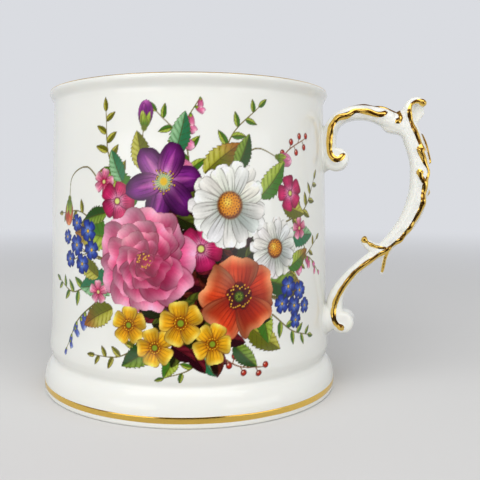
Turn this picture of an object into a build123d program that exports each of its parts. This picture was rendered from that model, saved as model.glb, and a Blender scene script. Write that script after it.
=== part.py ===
"""Shaving mug of glazed bone china: cup, pierced soap shelf and a cast scroll handle,
with fired gilding on the rim, the foot and the raised mouldings of the handle.

Frame: millimetres, +Z up.  The origin is the centre of the foot, on the plane the mug
stands on.  The handle lies in the XZ plane, on the +X side.
"""
import os

from build123d import *

os.makedirs("parts", exist_ok=True)

# ---- cup, from the foot up ----------------------------------------------------------
foot_radius = 45.9          # widest point of the spreading foot
foot_edge = 0.8             # rounding under the foot
foot_side = 3.4             # height to which the foot's side is upright
foot_shoulder = (45.25, 6.7)
foot_slope = (44.1, 8.8)
groove = (43.05, 10.1)      # waist between the foot and the bowl
under_bulge = (43.6, 11.8)
bulge = (44.05, 13.9)
bowl_start = (43.4, 20.7)
bowl_middle = (42.65, 54.0)
neck = (41.45, 86.3)
lip_radius = 42.6           # the thin lip flares outwards
lip_roll = 0.65             # radius of its rounded edge
mug_height = 90.0

mouth_bore = 39.2           # inside radius beside the soap shelf
mouth_bore_low = 60.0
mouth_bore_high = 80.0
bowl_bore = 40.2            # inside radius low in the bowl
floor_height = 8.6          # inside floor above the table
floor_corner = 9.0          # radius where floor and wall meet
foot_ring_width = 5.2
recess_height = 4.4         # hollow under the foot
recess_corner = 1.5

# ---- gilding ------------------------------------------------------------------------
gilt_film = 0.1             # thickness given to the fired gold
foot_band_low = 1.7
foot_band_high = 3.25
rim_line_start = 60         # degrees around the edge of the lip, from the outside
rim_line_end = 150
rib_radius = 0.62           # raised, gilded mouldings of the handle
volute_radius = 0.5
fine_radius = 0.35
knob_radius = 0.85          # beads that end the mouldings
section_spacing = 1.6       # between a moulding's sections
least_sections = 4          # of a short moulding, besides those of its ends
end_length = 1.7            # of a moulding, over which its end swells or tapers
end_profile = [(0.0, 0.5), (0.3, 0.86), (0.9, 1.0)]     # distance from the end, share of size

# ---- soap shelf, half a disc opposite the handle ------------------------------------
shelf_top = 75.0
shelf_thickness = 3.2
shelf_edge = -3.0           # x of the straight front edge
shelf_lip_height = 3.0
shelf_lip_width = 2.8
shelf_lip_rounding = 1.2    # radius along the top of the lip
well_depth = 0.9            # shallow well that keeps the soap from sliding
well_border = 3.4
drain_diameter = 4.2
drain_ring = 19.0           # radius of the arc that the drain holes lie on
drain_count = 5
drain_spread = 128          # degrees of arc from the first hole to the last
shelf_joint = 2.6           # slip fillet under the shelf, along the wall

# ---- handle, in the XZ plane --------------------------------------------------------
# A station is (x, z, depth in the plane, width along Y) of the casting's section.
section_rounding = 0.42     # corner radius of a section, as a share of its smaller side
arch_stations = [
    (45.2, 67.8, 4.6, 6.6),
    (43.9, 71.5, 3.8, 7.0),
    (43.7, 76.0, 3.8, 7.2),
    (45.0, 80.4, 3.8, 7.4),
    (48.5, 82.8, 3.8, 7.4),
    (53.0, 83.3, 4.0, 7.4),
    (57.2, 82.4, 4.4, 7.4),
    (61.0, 80.6, 5.0, 7.2),
    (64.8, 78.4, 4.0, 6.8),
]
stem_stations = [
    (69.8, 84.9, 1.5, 4.4),
    (69.0, 86.0, 1.8, 5.2),
    (67.1, 86.0, 2.0, 6.0),
    (65.7, 84.3, 2.5, 6.4),
    (65.4, 81.8, 3.2, 6.6),
    (66.2, 78.4, 4.8, 6.8),
    (67.5, 74.4, 5.2, 7.0),
    (68.9, 70.0, 5.2, 7.0),
    (69.4, 65.6, 5.4, 7.0),
    (69.2, 61.0, 5.2, 6.8),
    (68.4, 56.4, 5.6, 6.6),
    (66.1, 51.2, 5.0, 6.2),
    (62.6, 46.6, 4.1, 5.6),
    (57.7, 42.0, 3.2, 5.2),
    (53.2, 38.2, 3.0, 5.2),
    (49.6, 34.4, 3.2, 5.6),
    (46.9, 30.0, 4.2, 6.4),
    (46.0, 25.6, 5.0, 7.6),
    (46.6, 22.0, 5.6, 8.6),
]
shoulder_stations = [
    (59.0, 80.0, 1.6, 4.4),
    (60.8, 78.7, 2.8, 5.8),
    (62.9, 78.4, 3.0, 6.4),
    (65.1, 77.3, 3.0, 6.6),
    (66.7, 74.6, 2.8, 6.6),
]
inner_spur_stations = [
    (53.8, 46.3, 1.6, 2.8),
    (55.6, 44.6, 2.8, 3.8),
    (58.4, 43.4, 3.4, 4.6),
    (61.2, 44.6, 3.4, 5.0),
]
outer_spur_stations = [
    (59.4, 36.0, 0.9, 1.6),
    (59.9, 38.4, 1.2, 2.4),
    (60.2, 40.8, 1.9, 3.6),
    (61.4, 44.4, 3.0, 4.8),
]
upper_roll = (45.9, 69.8, 3.5, 6.8)     # x, z, radius and width of a rolled end
lower_roll = (48.6, 21.4, 3.3, 9.0)
roll_rounding = 1.4
upper_pad = (73.0, 7.0, 3.4, 3.6)       # height, half height, half width and length
lower_pad = (21.8, 4.4, 6.2, 5.6)
pad_wall = 41.0                         # radius inside the wall where the pads begin
pad_taper = 0.72
curl_web = [(66.0, 80.0), (66.2, 84.6), (68.0, 85.8), (69.8, 84.9), (70.2, 82.4), (67.8, 79.0)]
web_thickness = 2.6

# Raised mouldings on each flank of the handle, as (x, z, y) along the bead.
arch_moulding = [
    (47.6, 71.3, 3.2),
    (47.4, 70.2, 3.3),
    (46.0, 69.8, 3.4),
    (44.6, 70.8, 3.5),
    (43.9, 73.4, 3.6),
    (43.9, 77.1, 3.6),
    (44.8, 80.3, 3.6),
    (46.4, 81.7, 3.7),
    (48.4, 82.2, 3.8),
    (50.1, 83.1, 3.7),
    (51.4, 83.7, 3.6),
    (52.9, 83.3, 3.8),
    (54.7, 83.1, 3.8),
    (56.4, 82.5, 3.7),
    (58.0, 82.3, 3.6),
    (59.8, 83.2, 3.0),
]
arch_end_moulding = [
    (62.6, 82.9, 1.4),
    (63.7, 81.9, 2.4),
    (63.4, 80.8, 3.2),
    (62.3, 80.4, 3.5),
]
stem_moulding = [
    (68.9, 73.1, 3.5),
    (69.3, 71.3, 3.5),
    (70.4, 69.3, 3.4),
    (71.6, 67.2, 2.9),
    (71.9, 65.4, 2.5),
    (70.9, 63.0, 2.9),
    (70.6, 60.8, 3.0),
    (70.5, 58.2, 3.0),
    (69.0, 53.4, 2.8),
    (64.6, 46.6, 2.5),
    (59.0, 42.0, 2.4),
    (52.3, 36.8, 2.5),
    (48.0, 30.8, 3.1),
    (46.0, 25.2, 4.0),
    (46.8, 21.2, 4.4),
    (49.1, 20.0, 4.4),
]
stem_volute = [
    (69.4, 66.5, 3.6),
    (69.4, 65.1, 3.6),
    (70.0, 63.9, 3.5),
    (70.7, 62.8, 3.3),
]
top_curl_moulding = [
    (70.0, 84.7, 2.1),
    (68.7, 85.7, 2.7),
    (67.2, 85.3, 3.0),
    (66.3, 83.2, 3.2),
    (66.7, 80.3, 3.3),
    (68.1, 77.0, 3.3),
    (69.3, 74.2, 3.2),
    (70.2, 72.0, 3.0),
]
inner_spur_moulding = [
    (53.9, 46.7, 1.2),
    (55.5, 45.4, 1.8),
    (58.2, 44.2, 2.3),
    (60.7, 44.0, 2.6),
]
outer_spur_moulding = [
    (61.2, 43.2, 2.2),
    (60.4, 40.8, 1.7),
    (60.0, 38.4, 1.2),
    (59.7, 36.6, 0.8),
]
# Mouldings on the crest of the handle, as (x, z).
arch_crest = [
    (45.6, 82.9),
    (47.3, 84.2),
    (49.1, 84.9),
    (51.8, 85.5),
    (53.6, 85.5),
    (56.2, 85.0),
    (58.0, 84.8),
    (59.6, 84.3),
    (61.6, 83.4),
    (63.2, 82.4),
]
stem_crest = [
    (69.6, 76.9),
    (70.6, 74.7),
    (71.4, 72.4),
    (72.0, 70.1),
    (72.3, 68.4),
]
back_bead = (71.8, 60.2, 0.9)       # x, z and radius of a single bead on the back


def section_planes(stations):
    """Planes square to the smooth line through the stations, their x axis along Y."""
    with BuildLine(mode=Mode.PRIVATE) as spine:
        Spline([(x, 0, z) for x, z, depth, width in stations])
    planes = []
    for x, z, depth, width in stations:
        along = spine.edges()[0].tangent_at(Vector(x, 0, z))
        planes.append(Plane(origin=(x, 0, z), x_dir=(0, 1, 0), z_dir=along))
    return planes


def moulding_sections(points, radius, beads):
    """Planes and radii of a round bead along a smooth line.

    The bead tapers to a soft end, or swells into a ball at the ends that beads names.
    """
    with BuildLine(mode=Mode.PRIVATE) as spine:
        Spline(points)
    line = spine.edges()[0]
    inner = line.length - 2 * end_length
    count = max(least_sections, round(inner / section_spacing))
    stops = [(end_length + inner * step / count, radius) for step in range(count + 1)]
    for end in (0, 1):
        size = knob_radius if end in beads else radius
        for distance, share in end_profile:
            stops.append((abs(end * line.length - distance), share * size))
    return [
        (Plane(origin=line @ (at / line.length), z_dir=line % (at / line.length)), size)
        for at, size in sorted(stops)
    ]


# ---- cup ----------------------------------------------------------------------------
lip_centre = (lip_radius - lip_roll, mug_height - lip_roll)
lip_inside = (lip_radius - 2 * lip_roll, mug_height - lip_roll)
foot_corner = (foot_radius, foot_edge)
upward = (0, 1)             # directions of the profile's splines
bowl_lean = (-0.03, 1)
neck_lean = (0.05, 1)
mouth_flare = (0.25, 1)
with BuildPart() as cup_form:
    with BuildSketch(Plane.XZ):
        with BuildLine():
            Line((0, 0), (foot_radius - foot_edge, 0))
            RadiusArc((foot_radius - foot_edge, 0), foot_corner, -foot_edge)
            Line(foot_corner, (foot_radius, foot_side))
            Spline(
                (foot_radius, foot_side),
                foot_shoulder,
                foot_slope,
                groove,
                under_bulge,
                bulge,
                tangents=(upward, upward),
            )
            Spline(bulge, bowl_start, tangents=(upward, bowl_lean))
            ThreePointArc(bowl_start, bowl_middle, neck)
            Spline(neck, (lip_radius, lip_centre[1]), tangents=(neck_lean, upward))
            ThreePointArc((lip_radius, lip_centre[1]), (lip_centre[0], mug_height), lip_inside)
            Polyline(lip_inside, (0, lip_inside[1]), (0, 0))
        make_face()
    revolve(axis=Axis.Z)

with BuildPart() as mug_body:
    add(cup_form.part)
    with BuildSketch(Plane.XZ):
        with BuildLine():
            Line((0, lip_inside[1]), (0, floor_height))
            Line((0, floor_height), (bowl_bore - floor_corner, floor_height))
            RadiusArc(
                (bowl_bore - floor_corner, floor_height),
                (bowl_bore, floor_height + floor_corner),
                -floor_corner,
            )
            Polyline(
                (bowl_bore, floor_height + floor_corner),
                (mouth_bore, mouth_bore_low),
                (mouth_bore, mouth_bore_high),
            )
            Spline((mouth_bore, mouth_bore_high), lip_inside, tangents=(upward, mouth_flare))
            Line(lip_inside, (0, lip_inside[1]))
        make_face()
    revolve(axis=Axis.Z, mode=Mode.SUBTRACT)
    with BuildSketch(Plane.XY):
        Circle(foot_radius - foot_ring_width)
    extrude(amount=recess_height, mode=Mode.SUBTRACT)
    recess_edge = mug_body.faces().filter_by(Plane.XY).sort_by(Axis.Z)[1].edges()
    fillet(recess_edge, radius=recess_corner)
mug_body.part.label = "mug_body"
export_step(mug_body.part, "parts/mug_body.step")

# ---- soap shelf ---------------------------------------------------------------------
shelf_side = 2 * mouth_bore
with BuildPart() as soap_shelf:
    with BuildSketch(Plane.XY.offset(shelf_top - shelf_thickness)) as shelf_outline:
        Circle(mouth_bore)
        with Locations((shelf_edge, 0)):
            Rectangle(shelf_side, shelf_side, align=(Align.MAX, Align.CENTER), mode=Mode.INTERSECT)
    extrude(amount=shelf_thickness)
    with BuildSketch(Plane.XY.offset(shelf_top)):
        Circle(mouth_bore)
        with Locations((shelf_edge, 0)):
            Rectangle(
                shelf_lip_width, shelf_side, align=(Align.MAX, Align.CENTER), mode=Mode.INTERSECT
            )
    extrude(amount=shelf_lip_height)
    lip_edges = soap_shelf.edges().filter_by(Axis.Y).group_by(Axis.Z)[-1]
    fillet(lip_edges, radius=shelf_lip_rounding)
    with BuildSketch(Plane.XY.offset(shelf_top)):
        Circle(mouth_bore - well_border)
        with Locations((shelf_edge - shelf_lip_width, 0)):
            Rectangle(shelf_side, shelf_side, align=(Align.MAX, Align.CENTER), mode=Mode.INTERSECT)
    extrude(amount=-well_depth, mode=Mode.SUBTRACT)
    with Locations(Plane.XY.offset(shelf_top)):
        with PolarLocations(
            drain_ring, drain_count, 180 - drain_spread / 2, drain_spread, endpoint=True
        ):
            Hole(drain_diameter / 2)
    with BuildSketch(Plane.XZ):
        with BuildLine():
            underside = shelf_top - shelf_thickness
            Polyline(
                (mouth_bore, underside),
                (mouth_bore - shelf_joint, underside),
                (mouth_bore, underside - shelf_joint),
                (mouth_bore, underside),
            )
        make_face()
    revolve(axis=Axis.Z)
    split(bisect_by=Plane.YZ.offset(shelf_edge), keep=Keep.BOTTOM)
soap_shelf.part.label = "soap_shelf"
export_step(soap_shelf.part, "parts/soap_shelf.step")

# ---- handle -------------------------------------------------------------------------
bars = (arch_stations, stem_stations, shoulder_stations, inner_spur_stations, outer_spur_stations)
with BuildPart() as handle:
    for stations in bars:
        for plane, (x, z, depth, width) in zip(section_planes(stations), stations):
            with BuildSketch(plane):
                RectangleRounded(width, depth, section_rounding * min(width, depth))
        loft()
    for x, z, radius, width in (upper_roll, lower_roll):
        with BuildPart(mode=Mode.PRIVATE) as roll:
            with BuildSketch(Plane.XZ):
                with Locations((x, z)):
                    Circle(radius)
            extrude(amount=width / 2, both=True)
            fillet(roll.edges().filter_by(GeomType.CIRCLE), radius=roll_rounding)
        add(roll.part)
    for height, half_height, half_width, length in (upper_pad, lower_pad):
        for reach, scale in ((0, 1), (length, pad_taper)):
            with BuildSketch(Plane.YZ.offset(pad_wall + reach)):
                with Locations((0, height)):
                    Ellipse(half_width * scale, half_height * scale)
        loft()
    with BuildSketch(Plane.XZ):
        with BuildLine():
            Polyline(curl_web, close=True)
        make_face()
    extrude(amount=web_thickness / 2, both=True)
    add(cup_form.part, mode=Mode.SUBTRACT)
handle.part.label = "handle"
export_step(handle.part, "parts/handle.step")

# ---- gilding ------------------------------------------------------------------------
with BuildPart() as foot_gilt_band:
    with BuildSketch(Plane.XY.offset(foot_band_low)):
        Circle(foot_radius + gilt_film)
    extrude(amount=foot_band_high - foot_band_low)
    add(cup_form.part, mode=Mode.SUBTRACT)
foot_gilt_band.part.label = "foot_gilt_band"
export_step(foot_gilt_band.part, "parts/foot_gilt_band.step")

with BuildPart() as rim_gilt_line:
    with BuildSketch(Plane.XZ):
        with BuildLine():
            for radius in (lip_roll, lip_roll + gilt_film):
                CenterArc(lip_centre, radius, rim_line_start, rim_line_end - rim_line_start)
            for angle in (rim_line_start, rim_line_end):
                PolarLine(
                    Vector(*lip_centre) + Vector(lip_roll, 0).rotate(Axis.Z, angle),
                    gilt_film,
                    angle,
                )
        make_face()
    revolve(axis=Axis.Z)
rim_gilt_line.part.label = "rim_gilt_line"
export_step(rim_gilt_line.part, "parts/rim_gilt_line.step")

flank_mouldings = {
    "top_curl_gilding": (top_curl_moulding, rib_radius, (0,)),
    "stem_gilding": (stem_moulding, rib_radius, (1,)),
    "arch_gilding": (arch_moulding, rib_radius, (0,)),
    "arch_end_gilding": (arch_end_moulding, rib_radius, (1,)),
    "volute_gilding": (stem_volute, volute_radius, (0,)),
    "inner_spur_gilding": (inner_spur_moulding, fine_radius, (0,)),
    "outer_spur_gilding": (outer_spur_moulding, fine_radius, ()),
}
crest_mouldings = {
    "arch_crest_gilding": (arch_crest, fine_radius, ()),
    "stem_crest_gilding": (stem_crest, fine_radius, ()),
}
laid = [cup_form.part, handle.part]     # what a later run is cut to fit against
for name, (points, radius, beads) in flank_mouldings.items():
    with BuildPart() as gilding:
        for plane, size in moulding_sections([(x, y, z) for x, z, y in points], radius, beads):
            with BuildSketch(plane):
                Circle(size)
        loft()
        for other in laid:
            add(other, mode=Mode.SUBTRACT)
        mirror(about=Plane.XZ)
    laid.append(gilding.part)
    gilding.part.label = name
    export_step(gilding.part, f"parts/{name}.step")
for name, (points, radius, beads) in crest_mouldings.items():
    with BuildPart() as gilding:
        for plane, size in moulding_sections([(x, 0, z) for x, z in points], radius, beads):
            with BuildSketch(plane):
                Circle(size)
        loft()
        for other in laid:
            add(other, mode=Mode.SUBTRACT)
    laid.append(gilding.part)
    gilding.part.label = name
    export_step(gilding.part, f"parts/{name}.step")

with BuildPart() as back_bead_gilding:
    with Locations((back_bead[0], 0, back_bead[1])):
        Sphere(back_bead[2])
    add(handle.part, mode=Mode.SUBTRACT)
back_bead_gilding.part.label = "back_bead_gilding"
export_step(back_bead_gilding.part, "parts/back_bead_gilding.step")
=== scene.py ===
# %% [markdown]
# # A gilded shaving mug, cast, glazed, painted and fired
#
# A shaving mug is a bone china cup with a pierced shelf for the soap, a cast scroll handle
# stuck on with slip, enamel flowers painted over the glaze and lines of fired gold.
# This lesson dresses the engineering model of such a mug.  The model fixes every size,
# so the first step is to load it.

# %% Load the fixed frame
import math
from contextlib import contextmanager

import bmesh
import bpy
import numpy as np
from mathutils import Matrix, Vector
from mathutils.bvhtree import BVHTree


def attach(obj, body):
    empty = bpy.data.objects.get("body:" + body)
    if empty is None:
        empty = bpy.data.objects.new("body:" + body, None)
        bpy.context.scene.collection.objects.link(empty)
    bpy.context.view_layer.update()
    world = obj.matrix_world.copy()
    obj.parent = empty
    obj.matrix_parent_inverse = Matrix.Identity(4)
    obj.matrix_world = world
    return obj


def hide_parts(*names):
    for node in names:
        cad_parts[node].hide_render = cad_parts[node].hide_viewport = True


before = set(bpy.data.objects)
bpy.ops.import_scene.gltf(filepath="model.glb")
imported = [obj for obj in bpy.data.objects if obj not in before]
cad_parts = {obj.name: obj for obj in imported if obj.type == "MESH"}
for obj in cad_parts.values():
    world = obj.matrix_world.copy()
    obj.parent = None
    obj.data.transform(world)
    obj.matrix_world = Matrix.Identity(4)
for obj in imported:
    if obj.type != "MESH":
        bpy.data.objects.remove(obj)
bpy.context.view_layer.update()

print("pieces of the frame:", ", ".join(sorted(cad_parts)))

# %% [markdown]
# ## Units and colours
#
# Blender works in metres, and a potter thinks in millimetres, so one constant converts.
# Shaders want linear light while colours are easiest to pick as sRGB hex values.  One
# function turns the one into the other, and nothing else in the lesson does.

# %% Millimetres and hex colours
MM = 0.001
china_colour = "F0F0E9"


def srgb(colour):
    """A hex value such as "F0F0E9" as shares of red, green and blue, as the eye sees them."""
    return np.array([int(colour[at:at + 2], 16) / 255 for at in (0, 2, 4)])


def linear(shares):
    """Such shares turned to linear light."""
    return np.where(shares <= 0.04045, shares / 12.92, ((shares + 0.055) / 1.055) ** 2.4)


def rgba(colour):
    """A hex value in linear light with an alpha of one, which is what a colour socket takes."""
    return (*linear(srgb(colour)), 1.0)


print("bone china is", np.round(rgba(china_colour), 3))

# %% [markdown]
# ## One helper for every node
#
# A node tree is a list of nodes with settings and links.  One small function adds a node,
# sets what it is given, and links what is itself an earlier node or one of its outputs, so
# that a material reads from top to bottom like a recipe.

# %% The node helper
colour_a, colour_b, colour_out = 6, 7, 2  # the sockets of a Mix node that hold colours


def add_node(tree, kind, inputs=(), **settings):
    """Adds a shader node.  inputs are (socket, value) pairs.

    A value may be an output of another node, or a node, which stands for its first output.
    """
    node = tree.nodes.new("ShaderNode" + kind)
    for name, value in settings.items():
        setattr(node, name, value)
    for socket, value in inputs:
        if isinstance(value, bpy.types.Node):
            value = value.outputs[0]
        if isinstance(value, bpy.types.NodeSocket):
            tree.links.new(value, node.inputs[socket])
        else:
            node.inputs[socket].default_value = value
    return node


def new_material(name):
    """An empty material, and its tree."""
    material = bpy.data.materials.new(name)
    material.use_nodes = True
    material.node_tree.nodes.clear()
    return material, material.node_tree


def finish_material(material, shader):
    """Links a shader to the surface, and gives the material back."""
    add_node(material.node_tree, "OutputMaterial", [("Surface", shader)])
    print(material.name, "has", len(material.node_tree.nodes), "nodes")
    return material


# %% [markdown]
# ## The camera
#
# The mug is seen from close by, from two thirds of its own height and looking a little
# down.  The viewer stands square to the plane of the handle, less 17 degrees towards the
# handle itself, so the handle shows almost in profile.  The lens is a normal one, and a
# small shift frames the mug.

# %% Camera
camera_distance = 200.3 * MM  # from the axis of the mug
camera_height = 61.0 * MM
camera_turn = math.radians(17.0)  # round the mug, towards the handle
camera_yaw = 0.0291  # radians to the right
camera_dip = 0.09  # radians below level
camera_lens = 46.93  # mm, with a sensor 36 mm wide
camera_shift = (0.0669, 0.0123)  # of the sensor's width, across and up


def new_object(name, data):
    """An object in the scene, made of a mesh, a lamp or a camera."""
    thing = bpy.data.objects.new(name, data)
    bpy.context.scene.collection.objects.link(thing)
    return thing


camera = new_object("camera", bpy.data.cameras.new("camera"))
camera.location = (
    camera_distance * math.sin(camera_turn),
    -camera_distance * math.cos(camera_turn),
    camera_height,
)
camera.rotation_euler = (math.pi / 2 - camera_dip, 0, camera_turn - camera_yaw)
camera.data.lens = camera_lens
camera.data.sensor_width = 36
camera.data.shift_x, camera.data.shift_y = camera_shift
camera.data.clip_start = 0.01
bpy.context.scene.camera = camera
bpy.context.scene.view_settings.view_transform = "Standard"
print("camera at", [round(place / MM) for place in camera.location], "mm")

# %% [markdown]
# ## The table and the light
#
# White china wants broad light, and gold wants bright shapes with darkness between them.
# Two low soft boxes stand either side of the camera, where the upright wall of the cup
# shows them as pale bands.  A long box hangs above, which lights the shoulder of the foot
# and the crest of the handle.  Only reflections meet the dark parts: the room overhead,
# the studio behind the camera, and two flags of dark felt low in front, one standing and
# one lying.  A last lamp fills the front and is kept out of the reflections, as light
# bounced off a wall would be.  The table is pale, and further out it fades into the pale
# room, with no line between them.

# %% Table
room_colour = "DADCE1"
table_colour = "DBDAD8"
table_radius = 3.0
table_sides = 64
fade_start, fade_end = 0.10, 0.82  # metres from the mug


def pale_background(tree, seen):
    """The share seen, for rays from the camera, a mirror or glass, and 0 for all others."""
    path = add_node(tree, "LightPath")
    mirror = add_node(
        tree, "Math",
        [(0, path.outputs["Is Glossy Ray"]), (1, path.outputs["Is Transmission Ray"])],
        operation="ADD",
    )
    both = add_node(
        tree, "Math", [(0, mirror), (1, path.outputs["Is Camera Ray"])],
        operation="ADD", use_clamp=True,
    )
    return add_node(tree, "Math", [(0, both), (1, seen)], operation="MULTIPLY")


def paper_table():
    """Matt white paper: plain diffuse, fading into the colour of the room."""
    material, tree = new_material("matt_white_paper")
    place = add_node(tree, "TexCoord")
    distance = add_node(tree, "VectorMath", [(0, place.outputs["Object"])], operation="LENGTH")
    fade = add_node(
        tree, "MapRange",
        [("Value", distance.outputs["Value"]), ("From Min", fade_start), ("From Max", fade_end)],
        interpolation_type="SMOOTHSTEP",
    )
    paper = add_node(tree, "BsdfDiffuse", [("Color", rgba(table_colour)), ("Roughness", 0.5)])
    room = add_node(tree, "Emission", [("Color", rgba(room_colour)), ("Strength", 1.0)])
    mixed = add_node(
        tree, "MixShader", [(0, pale_background(tree, fade)), (1, paper), (2, room)]
    )
    return finish_material(material, mixed)


table_mesh = bpy.data.meshes.new("table")
ring = [
    (table_radius * math.cos(turn), table_radius * math.sin(turn), 0.0)
    for turn in np.linspace(0, 2 * math.pi, table_sides, endpoint=False)
]
table_mesh.from_pydata(ring, [], [range(table_sides)])
table_mesh.materials.append(paper_table())
table = new_object("table", table_mesh)

# %% Room
fill = 0.61  # even light that reaches matt surfaces
dim_parts = (  # axis of a direction, where it starts and is full, colour
    ("Y", 0.05, -0.45, "6A4A2C"),  # the studio behind the camera
    ("Z", 0.30, 0.75, "5E4430"),  # overhead
)


def pale_room():
    """Pale where the camera looks, dim in parts for a mirror, even light for the rest."""
    world = bpy.data.worlds.new("room")
    world.use_nodes = True
    tree = world.node_tree
    tree.nodes.clear()
    pale = rgba(room_colour)
    direction = add_node(tree, "TexCoord")
    way = add_node(tree, "SeparateXYZ", [(0, direction.outputs["Generated"])])
    shown = pale
    for axis, start, full, colour in dim_parts:
        share = add_node(
            tree, "MapRange",
            [("Value", way.outputs[axis]), ("From Min", start), ("From Max", full)],
            interpolation_type="SMOOTHSTEP",
        )
        shown = add_node(
            tree, "Mix", [("Factor", share), (colour_a, shown), (colour_b, rgba(colour))],
            data_type="RGBA",
        ).outputs[colour_out]
    path = add_node(tree, "LightPath")
    looked_at = add_node(
        tree, "Mix",
        [("Factor", path.outputs["Is Camera Ray"]), (colour_a, shown), (colour_b, pale)],
        data_type="RGBA",
    )
    mirrored = add_node(tree, "Background", [("Color", looked_at.outputs[colour_out])])
    even = add_node(tree, "Background", [("Color", pale), ("Strength", fill)])
    room = add_node(
        tree, "MixShader", [(0, pale_background(tree, 1.0)), (1, even), (2, mirrored)]
    )
    add_node(tree, "OutputWorld", [("Surface", room)])
    return world


bpy.context.scene.world = pale_room()
print("room:", len(bpy.context.scene.world.node_tree.nodes), "nodes")

# %% Soft boxes
aim_height = 45 * MM  # the middle of the mug


def stand(name, data, turn, distance, height):
    """Stands a lamp or a card in front of the mug.  turn is degrees from the camera."""
    item = new_object(name, data)
    angle = camera_turn - math.pi / 2 + math.radians(turn)
    item.location = (distance * math.cos(angle), distance * math.sin(angle), height)
    item.visible_camera = False
    return item


def soft_box(name, turn, width, height, radiance, distance=0.62, middle=None, mirrored=True):
    """A rectangular lamp turned to the mug.  It stands on the table unless it has a middle."""
    lamp = bpy.data.lights.new(name, "AREA")
    lamp.shape = "RECTANGLE"
    lamp.size = width
    lamp.size_y = height
    lamp.energy = radiance * math.pi * width * height
    holder = stand(name, lamp, turn, distance, middle or height / 2)
    aim = Vector((0, 0, aim_height)) - holder.location
    holder.rotation_euler = aim.to_track_quat("-Z", "Y").to_euler()
    holder.visible_glossy = mirrored


soft_box("left_soft_box", -38, 0.44, 0.17, 1.45)
soft_box("right_soft_box", 45, 0.46, 0.17, 1.25)
soft_box("hanging_soft_box", -4, 1.00, 0.36, 1.75, distance=0.35, middle=0.56)
soft_box("front_fill", -18, 0.90, 0.60, 0.80, mirrored=False)

# %% Felt flags
felt_colour = "2E1A10"


def dark_felt():
    """Brown-black wool felt: plain diffuse, as its fibres trap the light."""
    material, tree = new_material("dark_felt")
    return finish_material(material, add_node(tree, "BsdfDiffuse", [("Color", rgba(felt_colour))]))


def felt_flag(name, width, height, distance, lying):
    """A card of felt in front of the mug, standing or lying, that only reflections meet."""
    mesh = bpy.data.meshes.new(name)
    mesh.from_pydata(
        [(side * width / 2, 0, up) for side, up in ((-1, 0), (1, 0), (1, height), (-1, height))],
        [], [(0, 1, 2, 3)],
    )
    mesh.materials.append(felt)
    card = stand(name, mesh, 0, distance, 1 * MM)
    card.rotation_euler = (math.pi / 2 if lying else 0, 0, camera_turn)
    card.visible_diffuse = False
    card.visible_shadow = False


felt = dark_felt()
felt_flag("standing_flag", 210 * MM, 95 * MM, 0.25, lying=False)
felt_flag("lying_flag", 360 * MM, 320 * MM, 0.08, lying=True)

# %% [markdown]
# ## Bone china under a clear glaze
#
# Bone china is a white, slightly warm and faintly translucent clay body.  The mug is
# dipped in a clear lead-free glaze that melts to a skin of glass, index about 1.5, so its
# gloss is sharp and only a little wavy.  A trace of subsurface light gives the
# translucency, and a faint bump with swells 16 mm apart gives the waviness.

# %% Glazed bone china
glaze_wave = 16 * MM  # distance between the soft swells of the glaze


def mottle(tree, size, detail):
    """Soft noise over a piece, whose patches have a real size."""
    place = add_node(tree, "TexCoord")
    return add_node(
        tree, "TexNoise",
        [("Vector", place.outputs["Object"]), ("Scale", 1 / size), ("Detail", detail)],
    )


def glazed_china():
    """Clear glaze on bone china: dipped, drained and fired to a glassy skin."""
    material, tree = new_material("glazed_bone_china")
    swell = mottle(tree, glaze_wave, 1.0)
    bump = add_node(tree, "Bump", [("Height", swell), ("Strength", 0.12), ("Distance", 0.6 * MM)])
    glaze = add_node(tree, "BsdfPrincipled", [
        ("Base Color", rgba(china_colour)),
        ("Roughness", 0.07),
        ("IOR", 1.5),
        ("Subsurface Weight", 0.12),
        ("Subsurface Radius", (1.0, 0.8, 0.6)),
        ("Subsurface Scale", 1.2 * MM),
        ("Normal", bump),
    ])
    return finish_material(material, glaze)


china = glazed_china()

# %% [markdown]
# ## Fired gold
#
# The gilder brushes on "best gold", a brown paste of gold and mercury oxide, which comes
# from the kiln matt and is burnished bright with a bloodstone.  It is a real metal film,
# so it is metallic at 1.0 with gold's colour, keeps the default index, and is smooth
# with fine brush and burnishing marks.

# %% Burnished gold
gold_colour = "F7CF68"
burnish_mark = 0.5 * MM  # coarser than real marks, so that they show


def burnished_gold():
    """Fired gold film, burnished by hand: a bright metal, a little uneven in its gloss."""
    material, tree = new_material("burnished_fired_gold")
    marks = mottle(tree, burnish_mark, 3.0)
    roughness = add_node(tree, "MapRange", [("Value", marks), ("To Min", 0.11), ("To Max", 0.27)])
    bump = add_node(tree, "Bump", [("Height", marks), ("Strength", 0.15), ("Distance", 0.05 * MM)])
    film = add_node(tree, "BsdfPrincipled", [
        ("Base Color", rgba(gold_colour)),
        ("Metallic", 1.0),
        ("Roughness", roughness),
        ("Normal", bump),
    ])
    return finish_material(material, film)


gold = burnished_gold()

# %% [markdown]
# ## Turning the cup
#
# The cup is turned: one outline, spun round.  Its outside is an ogee foot, a waist, a
# wall that leans in very slightly, and a thin lip that flares.  The outline is a chain of
# a few curves through named points, each point a radius and a height in millimetres, and
# the mesh spins it round in quads, which gives the glaze clean reflections.

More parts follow.
